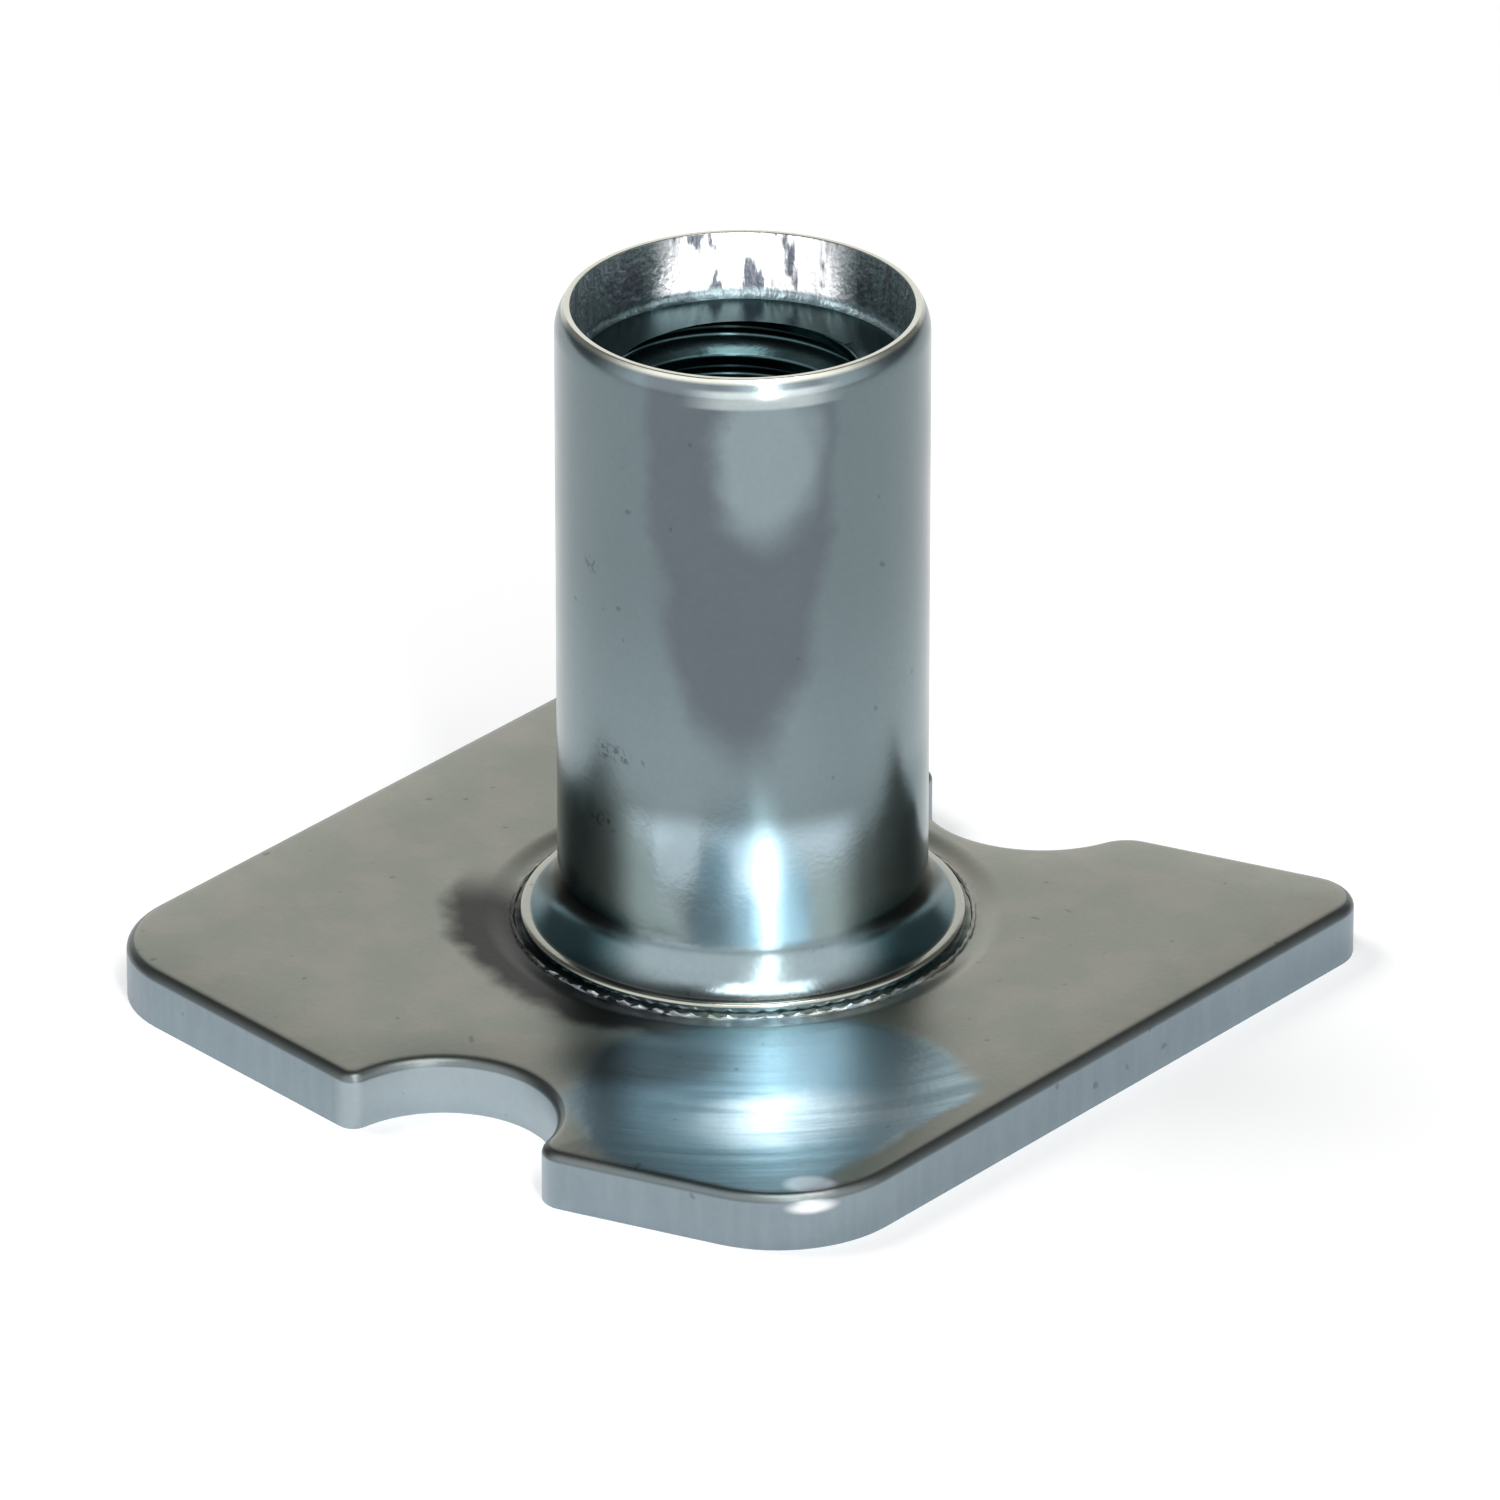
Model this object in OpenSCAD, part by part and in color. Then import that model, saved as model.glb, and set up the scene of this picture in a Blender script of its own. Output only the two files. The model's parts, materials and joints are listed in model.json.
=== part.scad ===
// Tee nut: a threaded barrel drawn up out of a flange whose two ends are shallow chevrons, all
// one piece. The barrel goes up through a drilled hole until the flange seats on the work, and
// its thin mouth is flared over on the far side. The notches in the flange's ends stop it turning.
// The origin is on the barrel's axis, in the plane of the flange's underside. +Z runs up the
// barrel, +X runs along the flange from its nose to its tail, and +Y is the flange's left side.

/* [Barrel] */
// Outside diameter of the barrel
barrel_d = 10.8; // [9.8:0.1:12.6]
// Height of the barrel's rim over the underside of the flange
overall_h = 21.2; // [12:0.2:32]
// Core diameter of the thread, which is that of an M8 tapping hole
core_d = 6.8; // [5:0.1:7.6]
// Thickness of the wall round the barrel's thin mouth
mouth_wall = 0.45; // [0.4:0.05:0.9]
// Depth of the thin mouth, from the rim down to its floor
mouth_depth = 2.05; // [1:0.05:4]
// Width of the chamfer that leads from the mouth's floor into the thread
lead_in = 0.35; // [0.1:0.05:0.6]
// Radius of the rim's outer edge
rim_round = 0.35; // [0.1:0.05:0.4]
// Radius that leads into the thread from the underside
entry_round = 1.2; // [0.4:0.1:1.4]

/* [Foot of the barrel] */
// How far the foot spreads out past the barrel
foot_reach = 1.1; // [0.8:0.02:1.5]
// Height of the foot's flare, above its lip
foot_rise = 1.5; // [1.2:0.05:3]
// Height of the foot's lip above the flange
lip_h = 0.2; // [0.15:0.05:0.5]
// Width of the flat on top of the lip
lip_land = 0.15; // [0.05:0.05:0.3]
// Radius of the lip's edge
lip_round = 0.12; // [0.05:0.01:0.15]

/* [Flange] */
// Width of the flange between its two long sides
flange_w = 27; // [22:0.5:34]
// Length of the flange from the point of its nose to the hollow of its tail
flange_l = 26.1; // [25.5:0.1:34]
// Thickness of the flange
flange_t = 1.8; // [1.5:0.1:3]
// Width and height of the edge that the press rolls down all round the top of the flange
edge_roll = 0.3; // [0.1:0.05:0.4]
// Distance from the barrel's axis forward to the point of the nose, before it is notched
nose_reach = 15.9; // [14:0.1:18]
// Distance from the barrel's axis to the right, to the point of the nose
nose_offset = 2.45; // [0:0.05:3.5]
// Angle at which the nose falls back on its left
sweep_left = 8.4; // [4:0.2:14]
// Angle at which the nose falls back on its right
sweep_right = 15; // [8:0.2:18]
// Corner radius at the left of the nose
nose_left_r = 3.5; // [2:0.1:5]
// Corner radius at the right of the nose
nose_right_r = 4; // [2:0.1:5]
// Radius of the two corners of the tail
tail_corner_r = 1.55; // [1:0.05:3]

/* [Notches] */
// Diameter of the round notch in the nose
nose_notch_d = 6.6; // [5:0.1:7.4]
// Distance from the point of the nose back to the centre of its notch
nose_notch_inset = 0.7; // [0:0.1:1.2]
// Distance from the point of the nose to the left, to the centre of its notch
nose_notch_shift = 0.95; // [0:0.05:1.5]
// Diameter of the round notch in the tail
tail_notch_d = 7; // [6:0.1:8.4]
// Distance from the hollow of the tail back to the centre of its notch
tail_notch_inset = 1.3; // [0.7:0.05:1.9]
// Distance from the hollow of the tail to the left, to the centre of its notch
tail_notch_shift = 0.55; // [0:0.05:1]
// Radius that runs out of the nose's notch on its right
nose_notch_r = 0.8; // [0.5:0.05:1.5]
// Radius that runs out of the tail's notch on its right
tail_notch_r = 1.4; // [0.5:0.05:2]
// Radius that breaks the crisp corner on the left of each notch
notch_break_r = 0.5; // [0.45:0.05:1]

/* [Hidden] */
$fn = 96;
barrel_r = barrel_d / 2;
core_r = core_d / 2;
mouth_r = barrel_r - mouth_wall;
mouth_floor_z = overall_h - mouth_depth;
lip_r = barrel_r + foot_reach;
lip_z = flange_t + lip_h;
// The foot's flare is one arc, tangent to the barrel, and it ends where the lip's flat starts
flare_run = foot_reach - lip_round - lip_land;
flare_r = (foot_rise ^ 2 + flare_run ^ 2) / (2 * flare_run);
// The roll's arc meets the flange's top and side at a slight crease. Its centre lies a little
// deeper than the roll, by this share of it, and the arc runs through both edges of the roll.
roll_crease = 0.15;
roll_depth = edge_roll * (1 + roll_crease);
roll_r = norm([roll_depth, roll_depth - edge_roll]);
// Distance by which a cutting shape runs past what it cuts
clear = 1;
// The straight edges lie this far inside the arcs of their corners, and the notches bite this far
// into the arcs beside them, so that none of those surfaces only grazes the next.
graze = 0.002;
// Distance by which the roll of an edge runs on into the roll of the next corner
roll_overlap = 0.3;

// Unit vector at an angle, and the angle of the line from one point to another
function unit(a) = [cos(a), sin(a)];
function heading(p, q) = atan2(q.y - p.y, q.x - p.x);

// A straight edge of the flange is [the angle of its outward normal, its distance from the axis]
function edge_through(a, p) = [a, unit(a) * p];
nose_point = [-nose_reach, -nose_offset];
tail_point = nose_point + [flange_l, 0];
left_edge = [90, flange_w / 2];
nose_left_edge = edge_through(180 - sweep_left, nose_point);
nose_right_edge = edge_through(180 + sweep_right, nose_point);
right_edge = [270, flange_w / 2];
tail_right_edge = edge_through(360 + sweep_right, tail_point);
tail_left_edge = edge_through(360 - sweep_left, tail_point);
// A notch is [its centre, its radius]
nose_notch = [nose_point + [nose_notch_inset, nose_notch_shift], nose_notch_d / 2];
tail_notch = [tail_point + [tail_notch_inset, tail_notch_shift], tail_notch_d / 2];

// Point that lies d inside both of two edges
function inside_corner(e, f, d) =
    let (m = unit(e[0]), n = unit(f[0]), s = e[1] - d, t = f[1] - d)
    [s * n.y - t * m.y, t * m.x - s * n.x] / (m.x * n.y - m.y * n.x);

// Centre of an arc of radius r that runs from a notch into an edge. On the way round the flange,
// side is 1 where the notch comes before the edge and -1 where it comes after.
function notch_corner(notch, e, r, side) =
    let (n = unit(e[0]), across = e[1] - r - n * notch[0])
    let (along = sqrt((notch[1] + r) ^ 2 - across ^ 2))
    notch[0] + across * n + side * along * [-n.y, n.x];

nose_break = notch_corner(nose_notch, nose_left_edge, notch_break_r, -1);
nose_join = notch_corner(nose_notch, nose_right_edge, nose_notch_r, 1);
tail_join = notch_corner(tail_notch, tail_right_edge, tail_notch_r, -1);
tail_break = notch_corner(tail_notch, tail_left_edge, notch_break_r, 1);

// The corner between two edges
function edge_corner(e, f, r) = [inside_corner(e, f, r), r, e[0], f[0]];

// The flange's corners in order, anticlockwise from the left of its nose. Each is an arc, given
// as [centre, radius, start angle, end angle].
corners = [
    edge_corner(left_edge, nose_left_edge, nose_left_r),
    [nose_break, notch_break_r, nose_left_edge[0], heading(nose_break, nose_notch[0]) + 360],
    [nose_join, nose_notch_r, heading(nose_join, nose_notch[0]), nose_right_edge[0]],
    edge_corner(nose_right_edge, right_edge, nose_right_r),
    edge_corner(right_edge, tail_right_edge, tail_corner_r),
    [tail_join, tail_notch_r, tail_right_edge[0], heading(tail_join, tail_notch[0]) + 360],
    [tail_break, notch_break_r, heading(tail_break, tail_notch[0]) + 360, tail_left_edge[0]],
    edge_corner(tail_left_edge, left_edge + [360, 0], tail_corner_r)
];

// Where the straight edge at one end of a corner's arc leaves that arc
function edge_end(corner, end) = corner[0] + (corner[1] - graze) * unit(corner[end]);

// Outline of the flange
module outline() {
    difference() {
        union() {
            polygon([
                edge_end(corners[0], 2), edge_end(corners[0], 3),
                edge_end(corners[1], 2), corners[1][0], nose_notch[0],
                corners[2][0], edge_end(corners[2], 3),
                edge_end(corners[3], 2), edge_end(corners[3], 3),
                edge_end(corners[4], 2), edge_end(corners[4], 3),
                edge_end(corners[5], 2), corners[5][0], tail_notch[0],
                corners[6][0], edge_end(corners[6], 3),
                edge_end(corners[7], 2), edge_end(corners[7], 3)
            ]);
            for (corner = corners) translate(corner[0]) circle(corner[1]);
        }
        for (notch = [nose_notch, tail_notch]) translate(notch[0]) circle(notch[1] + graze);
    }
}

// The flange as it is sheared, round the hole that the barrel fills
module blank() {
    linear_extrude(flange_t) difference() {
        outline();
        circle(barrel_r);
    }
}

// Section of what the roll takes off an edge that stands at x = 0
module roll_section() {
    translate([-roll_depth, flange_t - roll_depth]) difference() {
        square(roll_depth + clear);
        circle(roll_r);
    }
}

// What the roll takes off one of the corners
module corner_roll(corner) {
    translate(corner[0]) rotate_extrude(start = corner[2], angle = corner[3] - corner[2])
        intersection() {
            translate([corner[1], 0]) roll_section();
            square([corner[1] + clear, flange_t + clear]);
        }
}

// What the roll takes off the straight edge from one corner to the next
module straight_roll(corner, next) {
    run = norm(next[0] + next[1] * unit(corner[3]) - corner[0] - corner[1] * unit(corner[3]));
    translate(corner[0]) rotate(corner[3]) translate([corner[1] - graze, run + roll_overlap])
        rotate([90, 0, 0]) linear_extrude(run + 2 * roll_overlap) roll_section();
}

// What the roll takes off the wall of a notch, clockwise from one of its corners to the next
module notch_roll(notch, corner, next) {
    past = roll_overlap / notch[1] * 180 / PI;
    from = heading(notch[0], next[0]);
    sweep = heading(notch[0], corner[0]) - from;
    translate(notch[0])
        rotate_extrude(start = from - past, angle = (sweep > 0 ? sweep : sweep + 360) + 2 * past)
            translate([notch[1] + graze, 0]) mirror([1, 0]) roll_section();
}

// The rolls of the straight edges and of the notches run on a little into the corners, so the
// corners are rolled last, each from one end of its arc to the other.
module flange() {
    difference() {
        difference() {
            difference() {
                blank();
                for (i = [0, 2, 3, 4, 6, 7]) straight_roll(corners[i], corners[(i + 1) % len(corners)]);
            }
            notch_roll(nose_notch, corners[1], corners[2]);
            notch_roll(tail_notch, corners[5], corners[6]);
        }
        for (corner = corners) corner_roll(corner);
    }
}

// Half of the barrel's section. The outside has the flare of the foot and the lip where that
// meets the flange. The way through has the rounded entry, the thread's core and the mouth.
module barrel_section() {
    difference() {
        union() {
            square([barrel_r, overall_h - rim_round]);
            square([barrel_r - rim_round, overall_h]);
            translate([barrel_r - rim_round, overall_h - rim_round]) circle(rim_round);
            difference() {
                square([lip_r - lip_round, lip_z + foot_rise]);
                translate([barrel_r + flare_r, lip_z + foot_rise]) circle(flare_r);
            }
            square([lip_r, lip_z - lip_round]);
            square([lip_r - lip_round, lip_z]);
            translate([lip_r - lip_round, lip_z - lip_round]) circle(lip_round);
        }
        translate([0, -clear]) square([core_r, overall_h + 2 * clear]);
        difference() {
            translate([0, -clear]) square([core_r + entry_round, entry_round + clear]);
            translate([core_r + entry_round, entry_round]) circle(entry_round);
        }
        polygon([
            [0, mouth_floor_z - lead_in - core_r],
            [core_r + lead_in, mouth_floor_z],
            [mouth_r, mouth_floor_z],
            [mouth_r, overall_h + clear],
            [0, overall_h + clear]
        ]);
    }
}

module tee_nut() {
    color("lightsteelblue") {
        flange();
        rotate_extrude() barrel_section();
    }
}

tee_nut();
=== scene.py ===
import json
import math

import bpy
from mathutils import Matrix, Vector
from mathutils.bvhtree import BVHTree

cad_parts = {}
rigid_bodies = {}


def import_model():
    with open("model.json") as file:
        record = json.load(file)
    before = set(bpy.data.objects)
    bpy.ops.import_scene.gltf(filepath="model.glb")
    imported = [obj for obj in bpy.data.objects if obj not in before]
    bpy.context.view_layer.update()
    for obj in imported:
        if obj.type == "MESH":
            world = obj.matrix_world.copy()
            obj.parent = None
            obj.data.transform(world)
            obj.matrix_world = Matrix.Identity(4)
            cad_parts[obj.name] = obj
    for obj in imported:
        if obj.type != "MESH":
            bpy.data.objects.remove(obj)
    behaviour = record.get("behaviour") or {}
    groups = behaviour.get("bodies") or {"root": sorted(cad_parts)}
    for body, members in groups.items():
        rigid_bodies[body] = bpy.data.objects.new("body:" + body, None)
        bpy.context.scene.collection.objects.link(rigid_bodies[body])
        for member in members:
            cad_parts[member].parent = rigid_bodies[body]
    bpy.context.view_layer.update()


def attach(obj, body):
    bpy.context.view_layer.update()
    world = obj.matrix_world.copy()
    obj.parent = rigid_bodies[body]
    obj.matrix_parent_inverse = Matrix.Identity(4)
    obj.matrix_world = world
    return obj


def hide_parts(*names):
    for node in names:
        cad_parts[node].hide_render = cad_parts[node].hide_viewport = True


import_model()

# ---------------------------------------------------------------------------------------------
# The flange: sheet steel blanked and formed in a press. Its ends are shallow chevrons with a round
# notch in each. The press rolls the top edge down all round, and the sides are sheared square.

# Sizes are in metres and angles in degrees
MM = 0.001
FLANGE_T = 1.8 * MM
FLANGE_W = 27.0 * MM
FLANGE_L = 26.1 * MM
EDGE_ROLL = 0.3 * MM
ROLL_STEPS = 7
NOSE_POINT = Vector((-15.9, -2.45)) * MM
TAIL_POINT = NOSE_POINT + Vector((FLANGE_L, 0))
NOSE_NOTCH = Vector((-15.2, -1.5)) * MM
NOSE_NOTCH_R = 3.3 * MM
TAIL_NOTCH = Vector((11.5, -1.9)) * MM
TAIL_NOTCH_R = 3.5 * MM
SWEEP_LEFT = 8.4
SWEEP_RIGHT = 15.0
NOSE_LEFT_R = 3.5 * MM
NOSE_RIGHT_R = 4.0 * MM
TAIL_CORNER_R = 1.55 * MM
NOTCH_BREAK_R = 0.5 * MM
NOSE_JOIN_R = 0.8 * MM
TAIL_JOIN_R = 1.4 * MM
FEWEST_STEPS = 5
STEP_ANGLE = 10
NOTCH_STEPS = 40
STRAIGHT_STEP = 0.8 * MM
TOP_BORDER = 0.1 * MM
MERGE = 0.001 * MM


def unit(degrees):
    """The direction at an angle, anticlockwise from the tail."""
    return Vector((math.cos(math.radians(degrees)), math.sin(math.radians(degrees))))


def heading(p, q):
    """The angle at which one point sees another."""
    return math.degrees(math.atan2(q.y - p.y, q.x - p.x))


def edge_through(degrees, point):
    """A straight edge, given as the angle that it faces and its distance from the axis."""
    return degrees, unit(degrees).dot(point)


def inside_corner(e, f, radius):
    """The centre of the arc that rounds the corner between two straight edges."""
    m, n = unit(e[0]), unit(f[0])
    s, t = e[1] - radius, f[1] - radius
    return Vector((s * n.y - t * m.y, t * m.x - s * n.x)) / (m.x * n.y - m.y * n.x)


def notch_corner(notch, notch_r, edge, radius, side):
    """The centre of the arc that runs from a notch into a straight edge."""
    n = unit(edge[0])
    across = edge[1] - radius - n.dot(notch)
    along = math.sqrt((notch_r + radius) ** 2 - across**2)
    return notch + across * n + side * along * Vector((-n.y, n.x))


left_edge = (90, FLANGE_W / 2)
right_edge = (270, FLANGE_W / 2)
nose_left = edge_through(180 - SWEEP_LEFT, NOSE_POINT)
nose_right = edge_through(180 + SWEEP_RIGHT, NOSE_POINT)
tail_right = edge_through(360 + SWEEP_RIGHT, TAIL_POINT)
tail_left = edge_through(360 - SWEEP_LEFT, TAIL_POINT)
nose_break = notch_corner(NOSE_NOTCH, NOSE_NOTCH_R, nose_left, NOTCH_BREAK_R, -1)
nose_join = notch_corner(NOSE_NOTCH, NOSE_NOTCH_R, nose_right, NOSE_JOIN_R, 1)
tail_join = notch_corner(TAIL_NOTCH, TAIL_NOTCH_R, tail_right, TAIL_JOIN_R, -1)
tail_break = notch_corner(TAIL_NOTCH, TAIL_NOTCH_R, tail_left, NOTCH_BREAK_R, 1)

# Each corner is an arc, given as its centre, radius, start angle and end angle, and the notch
# that follows it, if one does
corners = [
    (inside_corner(left_edge, nose_left, NOSE_LEFT_R), NOSE_LEFT_R, 90, nose_left[0], None),
    (nose_break, NOTCH_BREAK_R, nose_left[0], heading(nose_break, NOSE_NOTCH) + 360, NOSE_NOTCH),
    (nose_join, NOSE_JOIN_R, heading(nose_join, NOSE_NOTCH), nose_right[0], None),
    (inside_corner(nose_right, right_edge, NOSE_RIGHT_R), NOSE_RIGHT_R, nose_right[0], 270, None),
    (inside_corner(right_edge, tail_right, TAIL_CORNER_R), TAIL_CORNER_R, 270, tail_right[0], None),
    (tail_join, TAIL_JOIN_R, tail_right[0], heading(tail_join, TAIL_NOTCH) + 360, TAIL_NOTCH),
    (tail_break, NOTCH_BREAK_R, heading(tail_break, TAIL_NOTCH) + 360, tail_left[0], None),
    (inside_corner(tail_left, left_edge, TAIL_CORNER_R), TAIL_CORNER_R, tail_left[0], 450, None),
]


def deselect_everything():
    """Leaves nothing selected, so that an operator acts on its own piece only."""
    for o in bpy.context.scene.objects:
        o.select_set(False)


def start_pen(name, point):
    """A new piece of one vertex, in edit mode, from which its outline is drawn."""
    deselect_everything()
    bpy.ops.mesh.primitive_plane_add(size=MM)
    bpy.context.object.name = name
    bpy.ops.object.mode_set(mode="EDIT")
    bpy.ops.mesh.select_mode(type="VERT")
    bpy.ops.mesh.select_all(action="SELECT")
    bpy.ops.mesh.merge(type="CENTER")
    bpy.ops.transform.translate(value=point)
    return bpy.context.object


def draw_line(step):
    """Carries what is selected along by a step, and draws what it sweeps."""
    bpy.ops.mesh.extrude_region_move(TRANSFORM_OT_translate={"value": step})


def draw_arc(centre, degrees, steps, axis=(0, 0, 1)):
    """Turns the last vertex anticlockwise round a centre. The spin operator turns clockwise."""
    bpy.ops.mesh.spin(steps=steps, angle=-math.radians(degrees), center=centre, axis=axis)


def close_seams():
    """Merges the vertices that meet, in edit mode."""
    bpy.ops.mesh.select_all(action="SELECT")
    bpy.ops.mesh.remove_doubles(threshold=MERGE)


def pick(piece, test, kind="VERT"):
    """Selects the vertices or faces whose place passes a test, in edit mode."""
    bpy.ops.mesh.select_mode(type=kind)
    bpy.ops.mesh.select_all(action="DESELECT")
    bpy.ops.object.mode_set(mode="OBJECT")
    points = piece.data.vertices
    if kind == "VERT":
        for v in points:
            v.select = test(v.co)
    else:
        for f in piece.data.polygons:
            f.select = all(test(points[i].co) for i in f.vertices)
    bpy.ops.object.mode_set(mode="EDIT")


first = corners[0]
start = first[0] + first[1] * unit(first[2])
flange = start_pen("flange", (start.x, start.y, 0))
for i, (centre, radius, start_angle, end_angle, notch) in enumerate(corners):
    after = corners[(i + 1) % len(corners)]
    sweep = end_angle - start_angle
    steps = max(FEWEST_STEPS, round(abs(sweep) * math.sqrt(radius / MM) / STEP_ANGLE))
    draw_arc((centre.x, centre.y, 0), sweep, steps)
    here = centre + radius * unit(end_angle)
    there = after[0] + after[1] * unit(after[2])
    if notch is None:
        pieces = math.ceil((there - here).length / STRAIGHT_STEP)
        for k in range(pieces):
            draw_line(((there.x - here.x) / pieces, (there.y - here.y) / pieces, 0))
    else:
        turn = (heading(notch, there) - heading(notch, here)) % 360 - 360
        draw_arc((notch.x, notch.y, 0), turn, NOTCH_STEPS)
close_seams()
bpy.ops.mesh.edge_face_add()
draw_line((0, 0, FLANGE_T - EDGE_ROLL))

# The underside is left open here and is filled in once the barrel's entry is there
pick(flange, lambda p: p.z < FLANGE_T / 2, kind="FACE")
bpy.ops.mesh.delete(type="ONLY_FACE")
bpy.ops.mesh.select_all(action="SELECT")
bpy.ops.mesh.normals_make_consistent(inside=False)

# The rolled edge is a quarter round, and the top inside it is opened for the barrel
pick(flange, lambda p: p.z > FLANGE_T / 2, kind="FACE")
for i in range(ROLL_STEPS):
    a, b = (math.pi / 2 * k / ROLL_STEPS for k in (i, i + 1))
    bpy.ops.mesh.inset(
        thickness=EDGE_ROLL * (math.cos(a) - math.cos(b)),
        depth=EDGE_ROLL * (math.sin(b) - math.sin(a)),
    )
bpy.ops.mesh.inset(thickness=TOP_BORDER)
bpy.ops.mesh.delete(type="ONLY_FACE")
bpy.ops.object.mode_set(mode="OBJECT")

# ---------------------------------------------------------------------------------------------
# The barrel: drawn up out of the same sheet in several strokes. A flared foot ends in a coined lip
# where it meets the flange, which dips round it, with a knurled bead of squeezed metal. The top is
# bored out to a thin mouth that is riveted over once the nut is in its hole.

BARREL_R = 5.4 * MM
OVERALL_H = 21.2 * MM
CORE_R = 3.4 * MM
MOUTH_R = 4.95 * MM
MOUTH_FLOOR_Z = OVERALL_H - 2.05 * MM
MOUTH_FILLET = 0.22 * MM
LEAD_R = 4.03 * MM
RIM_TAPER = 0.78 * MM
RIM_TAPER_IN = 0.26 * MM
RIM_TAPER_R = (RIM_TAPER**2 + RIM_TAPER_IN**2) / (2 * RIM_TAPER_IN)
RIM_EDGE = 0.05 * MM
RIM_INNER = 0.04 * MM
FLARE_RUN = 0.83 * MM
FLARE_RISE = 1.5 * MM
FLARE_R = (FLARE_RISE**2 + FLARE_RUN**2) / (2 * FLARE_RUN)
LIP_LAND = 0.15 * MM
LIP_ROUND = 0.12 * MM
LIP_R = BARREL_R + FLARE_RUN + LIP_LAND + LIP_ROUND
LIP_Z = FLANGE_T + 0.2 * MM
DISH_R = 7.65 * MM
DISH_DEPTH = 0.14 * MM
DISH_STEPS = 12
BEAD_R = 6.73 * MM
BEAD = 0.075 * MM
GROOVE_DEPTH = 0.04 * MM
WALL_STEPS = 12
KNURLS = 80
AROUND = 3 * KNURLS


def dish(r):
    """How far the flange's top is pressed down at a distance from the axis."""
    along = min(1, max(0, (DISH_R - r) / (DISH_R - BEAD_R - BEAD)))
    return DISH_DEPTH * (1 - math.cos(math.pi * along)) / 2


def section_line(outward, upward):
    """A line in the barrel's section, away from the axis and up."""
    draw_line((outward, 0, upward))


def section_arc(r, z, degrees, steps):
    """An arc in the barrel's section, about a centre at a radius and a height."""
    draw_arc((r, 0, z), degrees, steps, axis=(0, -1, 0))


def turn_round_axis():
    """Turns the section that was drawn once round the axis, and leaves edit mode."""
    bpy.ops.mesh.select_all(action="SELECT")
    bpy.ops.mesh.spin(steps=AROUND, angle=math.tau, center=(0, 0, 0), axis=(0, 0, 1))
    close_seams()
    bpy.ops.object.mode_set(mode="OBJECT")


# The section starts at the dish's outer edge and goes in over the bead and its groove to the lip
barrel = start_pen("barrel", (DISH_R, 0, FLANGE_T))
dish_floor = FLANGE_T - DISH_DEPTH
here = Vector((DISH_R, 0, FLANGE_T))
for i in range(1, DISH_STEPS + 1):
    r = DISH_R + (BEAD_R + BEAD - DISH_R) * i / DISH_STEPS
    there = Vector((r, 0, FLANGE_T - dish(r)))
    draw_line(there - here)
    here = there
section_arc(BEAD_R, dish_floor, 180, steps=6)
section_line(LIP_R - BEAD_R + BEAD, -GROOVE_DEPTH)
section_line(0, LIP_Z - LIP_ROUND - dish_floor + GROOVE_DEPTH)
section_arc(LIP_R - LIP_ROUND, LIP_Z - LIP_ROUND, 90, steps=4)
section_line(-LIP_LAND, 0)
flare_angle = math.degrees(math.asin(FLARE_RISE / FLARE_R))
section_arc(BARREL_R + FLARE_R, LIP_Z + FLARE_RISE, -flare_angle, steps=16)

# The wall goes straight up to the rim, which tapers in a little under a crisp edge
taper = math.asin(RIM_TAPER / RIM_TAPER_R)
rim_edge_r = BARREL_R - RIM_TAPER_IN - RIM_EDGE * math.cos(taper)
taper_foot_z = OVERALL_H - RIM_EDGE * (1 - math.sin(taper)) - RIM_TAPER
for i in range(WALL_STEPS):
    section_line(0, (taper_foot_z - LIP_Z - FLARE_RISE) / WALL_STEPS)
section_arc(BARREL_R - RIM_TAPER_R, taper_foot_z, math.degrees(taper), steps=8)
section_arc(rim_edge_r, OVERALL_H - RIM_EDGE, 90 - math.degrees(taper), steps=5)

# Over the rim it goes down the mouth's wall and in across its floor, as far as the lead-in
section_line(MOUTH_R + RIM_INNER - rim_edge_r, 0)
section_arc(MOUTH_R + RIM_INNER, OVERALL_H - RIM_INNER, 90, steps=4)
section_line(0, MOUTH_FLOOR_Z + MOUTH_FILLET - OVERALL_H + RIM_INNER)
section_arc(MOUTH_R - MOUTH_FILLET, MOUTH_FLOOR_Z + MOUTH_FILLET, -90, steps=5)
section_line(LEAD_R - MOUTH_R + MOUTH_FILLET, 0)
turn_round_axis()

# The rounded way in from the underside
ENTRY_ROUND = 1.2 * MM
ENTRY_SWEEP = 60
entry = start_pen("entry", (CORE_R + ENTRY_ROUND, 0, 0))
section_arc(CORE_R + ENTRY_ROUND, ENTRY_ROUND, -ENTRY_SWEEP, steps=6)
turn_round_axis()

# ---------------------------------------------------------------------------------------------
# The thread: a right-handed metric coarse thread, tapped after the barrel is drawn. One pitch of
# its section is wound up the bore, and both ends are cut off square under their lead-ins.

THREAD_PITCH = 1.25 * MM
THREAD_DEPTH = 0.6 * MM
LEAD_DEPTH = 0.06 * MM
THREAD_TOP = MOUTH_FLOOR_Z - LEAD_DEPTH
THREAD_BOTTOM = 0.6 * MM
CREST_Z = 19.10 * MM
CREST_HEADING = 39.7
CREST = THREAD_PITCH / 4
ROOT = THREAD_PITCH / 8
FLANK = (THREAD_PITCH - CREST - ROOT) / 2
THREAD_BREAK = 0.07 * MM
TURNS = math.ceil((THREAD_TOP - THREAD_BOTTOM) / THREAD_PITCH) + 2
CUT_PRECISION = 1e-8

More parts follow.
